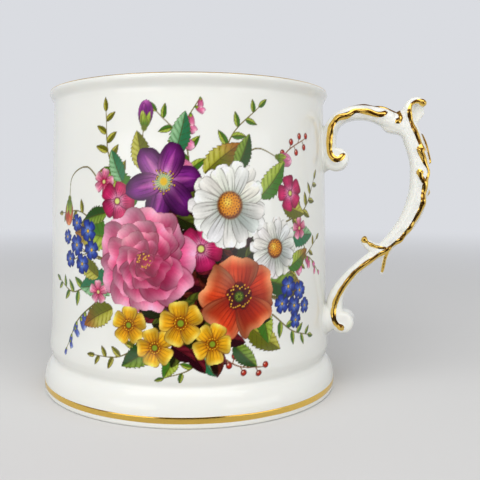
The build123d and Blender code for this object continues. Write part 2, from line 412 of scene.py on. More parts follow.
# %% Sizes of the cup
foot_radius = 45.9
foot_edge = 0.8  # radius of its rounded lower edge
foot_ogee = [(45.9, 3.4), (45.25, 6.7), (44.1, 8.8), (43.05, 10.1), (43.6, 11.8), (44.05, 13.9)]
wall_side = [(43.4, 20.7), (42.65, 54.0), (41.45, 86.3)]
lip_radius = 42.6
lip_roll = 0.65  # radius of its rolled edge
mug_height = 90.0
mouth_bore = 39.2  # radius inside, where the soap shelf fits
mouth_low, mouth_high = 60.0, 80.0  # the heights between which it stays the same
bowl_bore = 40.2  # radius inside, lower down
floor_height = 8.6
floor_corner = 9.0
recess_radius = 40.7  # of the hollow under the foot
recess_height = 4.4
recess_corner = 1.5
lip_level = mug_height - lip_roll
print("foot", 2 * foot_radius, "mm across, lip", 2 * lip_radius, "mm")


# %% Curves and corners
def curve(points, steps, start=None, end=None):
    """A smooth cubic line through the points, with a direction at either end."""
    points = np.array(points, float)
    chords = np.diff(points, axis=0)
    lengths = np.linalg.norm(chords, axis=1)
    slopes = np.zeros_like(points)
    slopes[1:-1] = (
        chords[:-1] / lengths[:-1, None] * lengths[1:, None]
        + chords[1:] / lengths[1:, None] * lengths[:-1, None]
    ) / (lengths[:-1] + lengths[1:])[:, None]
    slopes[0] = chords[0] / lengths[0] if start is None else Vector(start).normalized()
    slopes[-1] = chords[-1] / lengths[-1] if end is None else Vector(end).normalized()
    line = []
    for at, length in enumerate(lengths):
        t = np.linspace(0, 1, steps, endpoint=False)[:, None]
        line.append(
            (2 * t**3 - 3 * t**2 + 1) * points[at]
            + (t**3 - 2 * t**2 + t) * slopes[at] * length
            + (3 * t**2 - 2 * t**3) * points[at + 1]
            + (t**3 - t**2) * slopes[at + 1] * length
        )
    return np.vstack(line + [points[-1:]])


def corner(centre, radius, start, end, steps):
    """A round corner: an arc from one angle to another, in degrees."""
    turn = np.radians(np.linspace(start, end, steps))
    return np.column_stack(
        [centre[0] + radius * np.cos(turn), centre[1] + radius * np.sin(turn)]
    )


# %% Outline of the cup
lip_centre = (lip_radius - lip_roll, lip_level)
outside = np.vstack([
    corner((foot_radius - foot_edge, foot_edge), foot_edge, -90, 0, 7),
    curve(foot_ogee, 8, (0, 1), (0, 1)),
    curve([foot_ogee[-1], wall_side[0]], 8, (0, 1), (-0.03, 1))[1:],
    curve(wall_side, 24, (-0.03, 1), (-0.03, 1))[1:],
    curve([wall_side[-1], (lip_radius, lip_level)], 10, (0.05, 1), (0, 1))[1:],
    corner(lip_centre, lip_roll, 0, 180, 15)[1:],
])
inside = np.vstack([
    curve([(lip_radius - 2 * lip_roll, lip_level), (mouth_bore, mouth_high)], 10,
          (-0.25, -1), (0, -1))[1:],
    [(mouth_bore, (mouth_low + mouth_high) / 2), (mouth_bore, mouth_low)],
    [(bowl_bore, floor_height + floor_corner)],
    corner((bowl_bore - floor_corner, floor_height + floor_corner), floor_corner, 0, -90, 13)[1:],
    [(bowl_bore / 2, floor_height), (0, floor_height)],
])
underneath = np.vstack([
    [(0, recess_height)],
    corner((recess_radius - recess_corner, recess_height - recess_corner),
           recess_corner, 90, 0, 6),
    [(recess_radius, 0)],
])
print("outline points:", len(outside), "outside,", len(inside), "inside")


def wall_radius(height):
    """Outside radius of the cup at a height, both in millimetres."""
    side = outside[outside[:, 1].searchsorted(foot_edge):]
    rising = side[: side[:, 1].argmax() + 1]
    return np.interp(height, rising[:, 1], rising[:, 0])


# %% Spinning an outline into a mesh
around_steps = 240
merge_distance = 0.001 * MM  # points nearer to each other than this are one


@contextmanager
def open_mesh(piece):
    """A piece's mesh opened for editing, and written back afterwards."""
    mesh = bmesh.new()
    mesh.from_mesh(piece.data)
    yield mesh
    mesh.to_mesh(piece.data)
    mesh.free()


def new_piece(name, points, faces, material):
    """A smooth mesh object from points in millimetres."""
    mesh = bpy.data.meshes.new(name)
    mesh.from_pydata((np.asarray(points, float) * MM).tolist(), [], faces)
    mesh.validate()
    mesh.shade_smooth()
    mesh.materials.append(material)
    return new_object(name, mesh)


def joined_sections(sections, count, closed=True):
    """Quads from each section to the next, where a section is a closed line of count points."""
    faces = []
    for section in range(sections if closed else sections - 1):
        here, there = section * count, (section + 1) % sections * count
        for at in range(count):
            after = (at + 1) % count
            faces.append((here + at, there + at, there + after, here + after))
    return faces


def spin(name, outline_at, material):
    """Spins a closed outline round the Z axis.  outline_at(angle) gives its points there."""
    points = []
    for turn in np.linspace(0, 2 * math.pi, around_steps, endpoint=False):
        line = outline_at(turn)
        points += [(r * math.cos(turn), r * math.sin(turn), z) for r, z in line]
    piece = new_piece(name, points, joined_sections(around_steps, len(line)), material)
    with open_mesh(piece) as mesh:
        bmesh.ops.remove_doubles(mesh, verts=mesh.verts, dist=merge_distance)
        bmesh.ops.recalc_face_normals(mesh, faces=mesh.faces)
    return piece


# %% [markdown]
# The cup stands in the kiln on the flat of its foot ring, so that face is wiped free of
# glaze.  It stays matt, slightly creamier clay, smooth from polishing.

# %% The cup
clay_grain = 0.4 * MM  # coarser than the real grain, so that it shows
flat_of_foot = 0.05 * MM  # faces lower than this stand on the kiln shelf


def polished_clay():
    """Unglazed bone china, rubbed smooth after firing: matt, with a fine grain."""
    material, tree = new_material("unglazed_bone_china")
    grain = mottle(tree, clay_grain, 4.0)
    tone = add_node(
        tree, "Mix", [("Factor", grain), (colour_a, rgba("DDD8CA")), (colour_b, rgba("EAE6DA"))],
        data_type="RGBA",
    )
    bump = add_node(tree, "Bump", [("Height", grain), ("Strength", 0.4), ("Distance", 0.03 * MM)])
    clay = add_node(
        tree, "BsdfPrincipled",
        [("Base Color", tone.outputs[colour_out]), ("Roughness", 0.65), ("Normal", bump)],
    )
    return finish_material(material, clay)


cup_outline = np.vstack([outside, inside, underneath])
cup = spin("cup_body", lambda turn: cup_outline, china)
cup.data.materials.append(polished_clay())
for face in cup.data.polygons:
    top = max(cup.data.vertices[at].co.z for at in face.vertices)
    face.material_index = 1 if top < flat_of_foot else 0
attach(cup, "root")
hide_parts("mug_body")
print("cup:", len(cup.data.polygons), "faces,", [round(d / MM, 1) for d in cup.dimensions], "mm")

# %% [markdown]
# The soap shelf is a slab of the same clay, stuck in with slip.  Glaze gathers in the
# corner that its top makes with the wall, and rounds it.

# %% The corner above the soap shelf
shelf_top = 75.0
shelf_joint = 1.3  # radius of the gathered glaze
joint_bite = 0.1  # how far it reaches into the shelf and the wall
joint_ends = (math.radians(96.4), math.radians(263.6))  # inside the lip of the shelf
joint_steps = 120

hollow = corner((mouth_bore - shelf_joint, shelf_top + shelf_joint), shelf_joint, -90, 0, 8)
section = np.vstack([hollow, [(mouth_bore + joint_bite, shelf_top - joint_bite)]])
turns = np.linspace(*joint_ends, joint_steps)
points = [(r * math.cos(turn), r * math.sin(turn), z) for turn in turns for r, z in section]
count = len(section)
faces = joined_sections(joint_steps, count, closed=False)
faces += [tuple(range(count)), tuple(reversed(range(len(points) - count, len(points))))]
joint = new_piece("shelf_glaze_joint", points, faces, china)
with open_mesh(joint) as mesh:
    bmesh.ops.recalc_face_normals(mesh, faces=mesh.faces)
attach(joint, "root")
print("joint above the shelf:", len(faces), "faces")

# %% [markdown]
# ## Enamel flowers
#
# The flowers are painted over the glaze in enamels: metal oxides ground with a soft glass
# and fat oil, fired at about 800 degrees so that they sink a little into the glaze.  They
# stay slightly raised and a little less glossy than the glaze round them.
#
# The decoration is a mixed garden spray, which takes hundreds of strokes.  They are laid
# here one by one on a flat sheet, the wall of the cup unrolled, and the sheet is then
# wrapped round the cup as a thin film that carries its colour at every point.

# %% The sheet to paint on
paint_step = 0.205  # mm between the points of a sheet
bare = 0.02  # where the paint covers less than this, china shows
brush = np.random.default_rng(11)  # every unevenness of the hand comes from here


def ease(value, low, high):
    """0 below low, 1 above high and smooth between."""
    share = np.clip((value - low) / (high - low), 0, 1)
    return share * share * (3 - 2 * share)


def toned(colour, shade, amount):
    """Colour moved towards a shade, point by point."""
    return colour * (1 - amount[..., None]) + shade * amount[..., None]


class Sheet:
    """The wall of the cup unrolled, in mm, centred on an angle round the mug."""

    def __init__(self, turn, half_width, low, high):
        self.turn = turn
        self.across = np.arange(-half_width, half_width, paint_step)
        self.up = np.arange(low, high, paint_step)
        shape = (len(self.up), len(self.across))
        self.colour = np.ones((*shape, 3)) * srgb(china_colour)
        self.cover = np.zeros(shape)

    def near(self, x, y, reach):
        """The points within reach of a place, and where they are, seen from it."""
        columns = slice(*self.across.searchsorted((x - reach, x + reach)))
        rows = slice(*self.up.searchsorted((y - reach, y + reach)))
        return (rows, columns), self.across[None, columns] - x, self.up[rows, None] - y

    def beside(self, x, y, turn, reach):
        """The same, measured along a stroke's direction, in degrees, and across it."""
        there, dx, dy = self.near(x, y, reach)
        cosine, sine = math.cos(math.radians(turn)), math.sin(math.radians(turn))
        return there, dx * cosine + dy * sine, dy * cosine - dx * sine

    def lay(self, there, colour, amount):
        """Brushes a colour on, as densely as amount says."""
        amount = np.clip(amount, 0, 1)
        self.colour[there] = toned(self.colour[there], np.clip(colour, 0, 1), amount)
        self.cover[there] = np.maximum(self.cover[there], amount)

    def painted(self):
        """How much of the sheet is painted, in per cent."""
        return round(100 * float((self.cover > bare).mean()))


front = Sheet(camera_turn - math.pi / 2, 52, 11.5, 86)
sheet = front  # the one that the strokes go on to
print("front sheet:", front.cover.shape, "points")

# %% [markdown]
# ### Petals and leaves
#
# A petal is one loaded stroke: it starts narrow, swells and ends blunt, is deep at its
# root and pale at its rim, and gets a broken contour with a fine pen.  A leaf is two
# strokes side by side, the one in shade darker, with veins drawn in brown.

# %% Petal
line_width = 0.20  # of the pen, in mm


def petal(x, y, turn, length, width, shades, fullness=0.7, tip=0.22, bend=0.0,
          veins=3, ripple=0.0, contour="6B2A1E", line=0.6, light=0.25):
    """One petal from its root, in three shades: root, middle and rim.

    fullness is how late it is widest and tip how blunt it ends.
    """
    there, along, side = sheet.beside(x, y, turn, length * 1.25 + width)
    side = side - bend * along * along / length
    phase = brush.uniform(0, 2 * math.pi, 3)
    wave = np.sin(side / width * 7 + phase[0]) + 0.6 * np.sin(side / width * 15 + phase[1])
    full_length = length * (1 + ripple * wave)
    share = np.clip(along / full_length, 1e-4, 1 - 1e-4)
    widest = fullness / (fullness + tip)
    swell = (share / widest) ** fullness * ((1 - share) / (1 - widest)) ** tip
    half = width / 2 * swell
    slope = half * np.clip(fullness / share - tip / (1 - share), -3 / width, 9) / length
    inside = (half - np.abs(side)) / np.sqrt(1 + slope * slope)
    inside = np.where((along > 0) & (along < full_length), inside, -1)
    lane = np.clip(side / np.maximum(half, 1e-3), -1, 1)
    root, middle, rim = (srgb(shade) for shade in shades)
    pale = np.maximum(0.75 * ease(np.abs(lane), 0.45, 1.0), ease(share, 0.68, 1.0))
    colour = toned(toned(middle, rim, pale), root, 1 - ease(share, 0.0, 0.62))
    hair = np.sin(lane * 9 + phase[2]) * np.sin(lane * 23 + phase[0]) * (1.3 - share)
    glow = 1 + light * (0.35 - np.abs(lane - 0.25)) * ease(share, 0.0, 0.62) + 0.06 * hair
    colour = colour * glow[..., None] * (1 + brush.normal(0, 0.03) + brush.normal(0, 0.008, 3))
    if veins:
        vein = np.abs((lane * veins / 2 + phase[1]) % 1.0 - 0.5)
        drawn = (1 - ease(vein, 0.06, 0.16)) * (1 - ease(share, 0.45, 0.85))
        drawn = drawn * ease(share, 0.04, 0.2)
        colour = toned(colour, srgb(contour), 0.5 * drawn)
    pen = (1 - ease(inside, line_width * 0.5, line_width * 1.5)) * line
    colour = toned(colour, srgb(contour), pen * (0.72 + 0.28 * np.sin(share * 9 + phase[0])))
    sheet.lay(there, colour, ease(inside, -0.06, 0.08))


# %% Leaf
fresh = ("4C7A2C", "9DB348", "DDE08E")
olive = ("6E7224", "B4B24E", "E6E09C")
sea = ("3A7A56", "84B487", "D2E6C4")
dark = ("2F5226", "6F8C38", "B8C470")
brown = "4A3A1C"  # of veins and of the pen on green


def leaf(x, y, turn, length, width, shades=fresh, bend=0.0, teeth=0, veins=7, blush=None,
         contour=brown):
    """A leaf: one half in shade, brown veins, teeth, and an autumn blush at the tip."""
    there, along, side = sheet.beside(x, y, turn, length * 1.2 + width)
    side = side - bend * along * (along - length * 0.2) / length
    share = np.clip(along / length, 1e-4, 1 - 1e-4)
    swell = (share / 0.4) ** 0.62 * ((1 - share) / 0.6) ** 0.93
    if teeth:
        swell = swell * (1 - 0.16 * ((share * teeth - np.abs(side) / width) % 1.0))
    half = width / 2 * swell
    inside = np.where((along > 0) & (along < length), half - np.abs(side), -1)
    lane = np.clip(side / np.maximum(half, 1e-3), -1, 1)
    shaded, middle, lit = (srgb(shade) for shade in shades)
    colour = toned(shaded, middle, ease(lane, -0.2, 0.25))
    between = 0.5 + 0.5 * np.cos((share * veins - np.abs(lane) * 1.3) * 2 * math.pi)
    colour = toned(colour, lit, 0.5 * (1 - between) * ease(lane, 0.0, 0.6))
    if blush:
        colour = toned(colour, srgb(blush), 0.85 * ease(share, 0.4, 1.0))
    ribs = ease(between, 0.93, 1.0) * ease(inside, 0.05, 0.4)
    rib = np.maximum(1 - ease(np.abs(side), 0.05, 0.18), 0.55 * ribs) * (1 - ease(share, 0.8, 1))
    colour = toned(colour, srgb(contour), 0.7 * rib)
    pen = 1 - ease(inside, line_width * 0.3, line_width * 1.3)
    sheet.lay(there, toned(colour, srgb(contour), 0.6 * pen), ease(inside, -0.06, 0.08))


# %% Stems and touches
def stem(points, width=0.40, end=0.18, colour="7A7034", shade=brown):
    """A tapering stroke along a smooth line through a few points, darker below."""
    path = curve(points, 14)
    middle = (path.max(axis=0) + path.min(axis=0)) / 2
    there, dx, dy = sheet.near(*middle, np.abs(path - middle).max() + 1.0)
    nearest = np.full(np.broadcast(dx, dy).shape, 9.0)
    below = np.zeros_like(nearest)
    for start, stop, size in zip(
        path - middle, path[1:] - middle, np.linspace(width, end, len(path))
    ):
        run = stop - start
        share = ((dx - start[0]) * run[0] + (dy - start[1]) * run[1]) / (run @ run + 1e-9)
        share = np.clip(share, 0, 1)
        off_x, off_y = dx - start[0] - share * run[0], dy - start[1] - share * run[1]
        edge = np.hypot(off_x, off_y) - size / 2
        below = np.where(edge < nearest, -off_y - 0.3 * off_x, below)
        nearest = np.minimum(nearest, edge)
    tone = toned(srgb(colour), srgb(shade), 0.7 * ease(below, -0.05, 0.15))
    sheet.lay(there, tone, 1 - ease(nearest, -0.06, 0.09))
    return path


def dab(x, y, radius, colour, soft=0.35, amount=1.0):
    """One round touch of the brush."""
    there, dx, dy = sheet.near(x, y, radius * 1.6 + 0.2)
    far = np.hypot(dx, dy) / radius
    sheet.lay(there, srgb(colour), (1 - ease(far, 1 - soft, 1.05)) * amount)


def anther(place, shade, light, amount=1.0):
    """A grain of pollen on its own shadow."""
    dab(*place, 0.36, shade, amount=amount)
    dab(*place, 0.22, light)


def model(x, y, radius, shade, light="FFF6E6"):
    """Rounds a whole bloom: a soft shade low on its right and a light high on its left."""
    dab(x + radius * 0.30, y - radius * 0.32, radius * 0.6, shade, soft=1.0, amount=0.42)
    dab(x - radius * 0.36, y + radius * 0.38, radius * 0.5, light, soft=1.0, amount=0.22)


def around(x, y, turn, far):
    """The place at a distance and a direction, in degrees, from another."""
    return x + far * math.cos(math.radians(turn)), y + far * math.sin(math.radians(turn))


def unsteady(value, share):
    """The value, give or take a share of it."""
    return value * brush.uniform(1 - share, 1 + share)


def sway(most):
    """Anything from that much one way to that much the other."""
    return brush.uniform(-most, most)


# %% [markdown]
# ### The blooms
#
# Each kind of flower is a recipe of strokes.  The painter works from the back petals to
# the front, then sets the eye, and last the anthers and the lights.

# %% Peony and daisy
seed_turn = 137.5  # from one seed to the next, so that they never line up in rows


def peony(x, y, radius):
    """A full pink peony: rings of ruffled petals that close round a deep heart."""
    rings = [
        (0.98, 9, 0.86, ("981846", "D45E88", "F2B2C6")),
        (0.82, 9, 0.74, ("8E143F", "CE4E7C", "F0A4BC")),
        (0.65, 8, 0.62, ("821238", "C2416F", "EC94AE")),
        (0.47, 7, 0.50, ("721030", "B23362", "E583A2")),
        (0.30, 5, 0.38, ("620C26", "9E2752", "DA7092")),
    ]
    for ring, (size, count, breadth, shades) in enumerate(rings):
        for step in range(count):
            turn = 360 * (step + 0.5 * (ring % 2)) / count + sway(7)
            start = around(x, y, turn + 180, radius * 0.04 * ring)
            petal(
                *start, turn, radius * unsteady(size, 0.06), radius * unsteady(breadth, 0.1),
                shades, bend=sway(0.12), veins=5, ripple=0.035,
                contour="7A1436", line=0.75, light=0.35,
            )
    model(x, y, radius, "6A0E2C")
    for grain in range(26):
        spot = around(x, y, brush.uniform(0, 360), radius * 0.16 * math.sqrt(brush.uniform()))
        anther(spot, "6E1028", "EDB94A", amount=0.5)


def daisy(x, y, radius, count=14):
    """An ox-eye daisy: white petals with grey folds and a raised golden eye."""
    for layer in (0, 1):
        for step in range(count):
            turn = 360 * (step + 0.5 * layer) / count + sway(4)
            petal(
                x, y, turn, unsteady(radius - 0.07 * radius * layer, 0.06), radius * 0.38,
                ("8FA08C", "E6E6E0", "FDFCF6"), contour="5E5850", line=0.65, light=0.1,
                bend=sway(0.08),
            )
    model(x, y, radius, "7E8A84")
    eye = radius * 0.30
    dab(x, y, eye * 1.15, "6E3A10", soft=0.2)
    dab(x, y + eye * 0.06, eye, "DE9A20", soft=0.25)
    dab(x - eye * 0.2, y + eye * 0.22, eye * 0.55, "F8DC6A", soft=0.9)
    grains = int(eye * 22)
    for step in range(grains):
        far = eye * 1.05 * math.sqrt((step + 0.5) / grains)
        tone = "5E260C" if far > eye * 0.62 else "A8641A"
        dab(*around(x, y, step * seed_turn, far), 0.24, tone, amount=0.9)


# %% Clematis and poppy
def clematis(x, y, radius):
    """A violet clematis: pointed petals with a pink bar, and a crown of anthers."""
    for step in range(6):
        turn = 10 + 60 * (2 * step + step // 3) + sway(5)
        petal(
            x, y, turn, radius * unsteady(1, 0.05), radius * 0.66,
            ("B66AA8", "7A2E7E", "4E1450"), fullness=0.6, tip=0.5, veins=7,
            contour="3A0C3E", line=0.8, light=0.4, ripple=0.02,
        )
        petal(
            x, y, turn, radius * 0.82, radius * 0.2, ("E6C2E0", "B05AA4", "8E3C90"),
            fullness=0.5, tip=0.9, contour="7A2E7E", line=0.2, veins=0,
        )
    model(x, y, radius, "2A0830")
    dab(x, y, radius * 0.26, "86B48C", soft=0.5)
    for step in range(20):
        end = around(x, y, 18 * step, radius * brush.uniform(0.18, 0.32))
        stem([(x, y), end], 0.22, 0.16, "E9E3A8", "9A8A4A")
        anther(end, "4A1020", "F0CC4E")
    dab(x, y, radius * 0.11, "E8C24A")


def poppy(x, y, radius):
    """A rust-red poppy: crumpled petals with a dark blotch round a ribbed seed head."""
    for step in range(5):
        petal(
            x, y, 18 + 72 * step + sway(6), radius * unsteady(1, 0.06),
            radius * 1.15, ("7E1A0E", "C64C2C", "F0A47A"), tip=0.17, veins=9,
            ripple=0.05, contour="6E1A0E", line=0.8, light=0.35,
        )
    model(x, y, radius, "6A120A")
    for step in range(5):
        petal(
            x, y, 18 + 72 * step, radius * 0.38, radius * 0.32,
            ("2A1018", "4A1420", "7E2418"), fullness=0.6, tip=0.5, line=0.0,
        )
    for step in range(30):
        spot = around(x, y, 12 * step + sway(4), radius * brush.uniform(0.2, 0.34))
        dab(*spot, 0.24, "F0C04A")
    dab(x, y, radius * 0.16, "41501F")
    dab(x, y, radius * 0.12, "9DB04A", soft=0.6)
    for step in range(8):
        stem([(x, y), around(x, y, 45 * step, radius * 0.13)], 0.2, 0.12, "3C4A1E", "3C4A1E")


# %% Small flowers
small_kinds = {
    "buttercup": (("9A5212", "E4B02E", "F8E07A"), "8FA33A", "6E3A12", 5, 0.95),
    "cranesbill": (("F0CCD8", "C43A70", "9C2452"), "DDE08A", "66103A", 7, 0.95),
    "forget_me_not": (("B4C6EC", "2F4A9E", "1B2C70"), "F0C84E", "141E48", 0, 0.9),
    "campion": (("B02A54", "E08AA4", "F6CCD4"), "E8DC9A", "7A1A3C", 3, 0.8),
}


def small_flower(kind, x, y, radius):
    """A simple open flower of five rounded petals."""
    shades, eye, contour, veins, breadth = small_kinds[kind]
    start = brush.uniform(0, 72)
    for step in range(5):
        petal(
            x, y, start + 72 * step + sway(5), radius * unsteady(1, 0.05),
            radius * breadth, shades, veins=veins, contour=contour, line=0.7,
        )
    dab(x, y, radius * 0.24, contour, soft=0.4)
    dab(x, y, radius * 0.18, eye, soft=0.4)
    if kind == "buttercup":
        for step in range(12):
            dab(*around(x, y, 30 * step, radius * 0.32), 0.24, "7A4312")
            dab(*around(x, y, 30 * step, radius * 0.27), 0.17, "F6D646")


# %% [markdown]
# ### Sprigs
#
# Twigs, buds, bells and berries reach out of the spray and give it its light outline.

# %% Twigs, bells and buds
def heading(path, at):
    """The direction of a path at one of its points, in degrees."""
    way = path[min(at + 2, len(path) - 1)] - path[max(at - 2, 0)]
    return math.degrees(math.atan2(way[1], way[0]))


def leafy_twig(points, count=6, length=4.4, shades=fresh):
    """A thin twig with small leaves on either side in turn, and one at its tip."""
    path = stem(points)
    for step in range(count):
        share = 0.2 + 0.7 * step / max(1, count - 1)
        at = int(share * (len(path) - 1))
        size = length * (1.1 - 0.45 * share)
        turn = heading(path, at) + (52 if step % 2 else -52)
        leaf(*path[at], turn, size, size * 0.44, shades, 0.1 if step % 2 else -0.1, veins=4)
    leaf(*path[-1], heading(path, len(path) - 1), length * 0.7, length * 0.3, shades, veins=3)


def bell_sprig(points, shades, contour, count=7, size=3.6, droop=-60):
    """Bells that hang from one stem, smaller towards its tip, each with a green cap."""
    path = stem(points)
    for step in range(count):
        share = 0.15 + 0.85 * step / (count - 1)
        length = size * (1.2 - 0.65 * share)
        place = path[int(share * (len(path) - 1))]
        turn = droop + 26 * (-1) ** step + sway(8)
        petal(*place, turn, length, length * 0.6, shades, fullness=0.6, tip=0.28, veins=5,
              contour=contour, ripple=0.03)
        petal(*place, turn, length * 0.34, length * 0.3, fresh, 0.5, 0.6, contour=brown)


def berry_sprig(points, count=7):
    """A twig of rust-red berries, each with a glint."""
    path = stem(points, colour="8A5A34")
    for step in range(count):
        x, y = path[int((0.25 + 0.75 * step / (count - 1)) * (len(path) - 1))]
        berry = around(x, y, 70 if step % 2 else -60, 2.0 if step < count - 1 else 0.6)
        stem([(x, y), berry], 0.25, 0.2, "8A5A34")
        dab(*berry, 0.95, "6A1810", soft=0.2)
        dab(*berry, 0.75, "B83A22", soft=0.5)
        dab(*around(*berry, 130, 0.4), 0.24, "F6D0BC")


def bud(x, y, turn, length, shades, contour):
    """A closed bud held by green sepals."""
    petal(x, y, turn, length, length * 0.62, shades, 0.6, 0.5, veins=5, contour=contour)
    petal(x, y, turn + 6, length * 0.9, length * 0.26, shades, 0.6, 0.6, contour=contour)
    for way in (-28, 26, 0):
        petal(x, y, turn + way, length * 0.62, length * 0.26, fresh, 0.6, 0.9,
              contour=brown, bend=-0.2 if way > 0 else 0.2)
    dab(x, y, length * 0.14, "6E7A34")


# %% [markdown]
# ### The front spray
#
# The spray is set out from the back forwards: long twigs first, then the large leaves
# and the deep shadows between them, and the flowers on top.

# %% Twigs of the spray
pink_bells = (("A8326E", "DE84A6", "F4C4D4"), "8C2450")
blue_bells = (("2C3684", "6A78BE", "BCC6E6"), "20265E")
leafy_twig([(-18, 60), (-23.5, 70), (-24.5, 81)], 7, 5.4, olive)
leafy_twig([(8, 66), (12, 75), (20, 82)], 6, 5.0, fresh)
leafy_twig([(-30, 36), (-38, 33), (-46, 35.5)], 6, 4.8, fresh)
leafy_twig([(28, 52), (38, 56), (44, 64)], 7, 4.8, olive)
leafy_twig([(24, 28), (32, 22.5), (39, 20.5)], 6, 4.6, fresh)
leafy_twig([(-12, 22), (-20, 17.5), (-28, 17)], 6, 4.4, olive)
leafy_twig([(0, 62), (-1, 72), (-9, 80.5)], 7, 5.6, fresh)
leafy_twig([(-24, 48), (-34, 55), (-44, 54.5)], 6, 4.4, olive)
leafy_twig([(22, 36), (33, 40), (45, 47)], 8, 4.2, olive)
leafy_twig([(4, 24), (1, 16), (-7, 12.8)], 5, 4.2, fresh)
for tip in ((-37.5, 45), (-40, 41), (-34, 52.5), (-41, 48)):
    stem([(-22, 42), (-30, 44), tip], 0.3, 0.2)
for tip in ((35, 33), (37.5, 29), (33, 25), (31, 36)):
    stem([(20, 34), (27, 32), tip], 0.3, 0.2)
bell_sprig([(-4, 66), (-2, 76), (3, 84)], *pink_bells, 8, 4.8)
bell_sprig([(-28, 31), (-36, 25), (-41, 17)], *blue_bells, 8, 4.2, -80)
bell_sprig([(30, 40), (39, 42.5), (46, 38)], *pink_bells, 7, 3.8, -70)
berry_sprig([(22, 62), (30, 71), (39, 75)], 8)
berry_sprig([(6, 20), (13, 15.5), (21, 14.5)], 6)
stem([(-24, 60), (-32, 67), (-39, 64), (-40, 58)])
bud(-40, 58.5, -95, 7.4, ("7E2412", "C8583A", "ECAA7C"), "5E1A10")
stem([(-9, 66), (-13, 73), (-12.5, 77)])
bud(-12.5, 76.5, 84, 7.0, ("4E1450", "7A2E7E", "B66AA8"), "3A0C3E")
stem([(12, 66), (19, 71.5), (26, 69.5)])
bud(26, 69.5, -12, 6.0, pink_bells[0], pink_bells[1])

# %% Leaves and shadows of the spray
large_leaves = [
    (-22, 48, 168, 15, 9.0, fresh, 0.15, "A4612A"), (-21, 38, 200, 14, 8.4, sea, -0.12, None),
    (-15, 57, 130, 14, 8.0, fresh, 0.12, None), (-13, 66, 95, 10, 6.2, olive, 0.1, None),
    (-4, 70, 70, 11, 6.2, sea, 0.1, None), (4, 65, 42, 13, 7.0, olive, -0.12, "9C5A22"),
    (20, 59, 40, 13, 7.0, fresh, 0.15, None), (30, 48, 8, 12, 7.0, sea, -0.12, None),
    (23, 37, -18, 14, 8.0, dark, 0.15, "A4612A"), (16, 26, -40, 13, 7.4, olive, 0.1, None),
    (20, 30, -70, 10, 6.0, fresh, -0.1, None), (3, 19, -62, 7, 4.6, sea, 0.1, None),
    (-9, 22, -140, 12, 7.0, dark, -0.12, None), (-22, 30, -158, 12, 7.0, olive, 0.12, "9C5A22"),
    (-24, 55, 190, 9, 5.0, dark, 0.1, None), (28, 57, -20, 10, 5.6, olive, 0.1, None),
    (-4, 19, -112, 7, 4.6, fresh, -0.1, None), (12, 21, -48, 9, 5.4, dark, 0.1, None),
    (13, 66, 62, 10, 5.4, dark, 0.1, None), (-19, 63, 118, 9, 5.2, sea, -0.1, None),
    (30, 40, 22, 10, 5.6, fresh, 0.12, "A4612A"), (-27, 38, 150, 10, 5.8, olive, 0.1, None),
]
for x, y, turn, length, width, shades, bend, blush in large_leaves:
    leaf(x, y, turn, length, width, shades, bend, teeth=10, blush=blush)
dab(2, 38, 14, "34141A", soft=0.3)
dab(16, 45.5, 6, "2C3414", soft=0.3)
undergrowth = [
    ("22100A", "4A1E16", "7E4030"), ("300C18", "5A1826", "8E3A40"), ("22290F", "465020", "7E8436"),
]
shadow_leaves = 110
for step in range(shadow_leaves):
    turn, far = step * seed_turn, math.sqrt(step / shadow_leaves)  # this turn is in radians
    x, y = 2 + 17 * far * math.cos(turn), 38 + 19 * far * math.sin(turn)
    leaf(x, y, brush.uniform(0, 360), 7.5, 4.2, undergrowth[step % 3], veins=3, contour="1E0C08")

# %% Flowers of the spray
posies = {
    "forget_me_not": [
        (-36, 46, 2.9), (-31, 50, 3.0), (-33.5, 41, 2.8), (-39.5, 42, 2.4), (-29.5, 45, 2.7),
        (-41, 48, 2.1), (-36, 52, 2.4), (30, 35, 2.9), (35, 33.5, 2.6), (32.5, 29.5, 2.7),
        (27.5, 30.5, 2.6), (37.5, 29, 2.2), (33, 25.5, 2.3),
    ],
    "campion": [(-25, 63, 3.4), (35, 50.5, 3.0), (-27, 34, 3.2)],
    "cranesbill": [(-20.5, 58, 5.2), (31, 60, 4.6)],
}
for kind, places in posies.items():
    for place in places:
        small_flower(kind, *place)
clematis(-7, 63, 10.6)
daisy(25, 45.5, 8.0, 12)
small_flower("cranesbill", 3, 46, 6.0)
daisy(11, 57, 11.0)
poppy(13.5, 33.5, 10.4)
peony(-12.5, 43, 13.4)
for x, y, radius in ((-17, 26, 4.9), (-9.5, 20.5, 5.0), (6, 21.5, 5.2), (-2.5, 27, 5.8)):
    small_flower("buttercup", x, y, radius)
print("front spray covers", front.painted(), "% of its sheet")

# %% [markdown]
# ### The back sprig
#
# The far side carries a smaller sprig, so that the mug looks finished from there too.

# %% Paint the back sprig
back = Sheet(front.turn + math.pi, 26, 24, 72)
sheet = back
leafy_twig([(-8, 50), (-14, 58), (-20, 62)], 6, 4.6, fresh)
leafy_twig([(8, 52), (14, 60), (17, 68)], 6, 4.6, olive)
leafy_twig([(-6, 42), (-13, 36), (-21, 35)], 5, 4.4, olive)
bell_sprig([(6, 42), (13, 38), (17, 30)], *blue_bells, 6, 3.8, -80)
berry_sprig([(-2, 54), (-3, 61), (1, 67)], 6)
for x, y, turn, shades in (
    (-8, 48, 165, fresh), (-5, 41, 215, sea), (8, 44, -20, olive), (7, 52, 30, dark),
    (0, 38, -80, fresh), (-4, 55, 120, olive),
):
    leaf(x, y, turn, 10, 6, shades, 0.12, teeth=9)
dab(0, 47, 5, "46101E", soft=0.25)
small_flower("campion", -13, 44, 3.4)
for x, y in ((13, 48), (15, 52.5), (10.5, 52), (16.5, 47)):
    small_flower("forget_me_not", x, y, 2.4)
daisy(4, 50, 7.6, 12)
small_flower("cranesbill", -6.5, 51, 5.4)
small_flower("buttercup", -1, 40.5, 5.2)
print("back sprig covers", back.painted(), "% of its sheet")

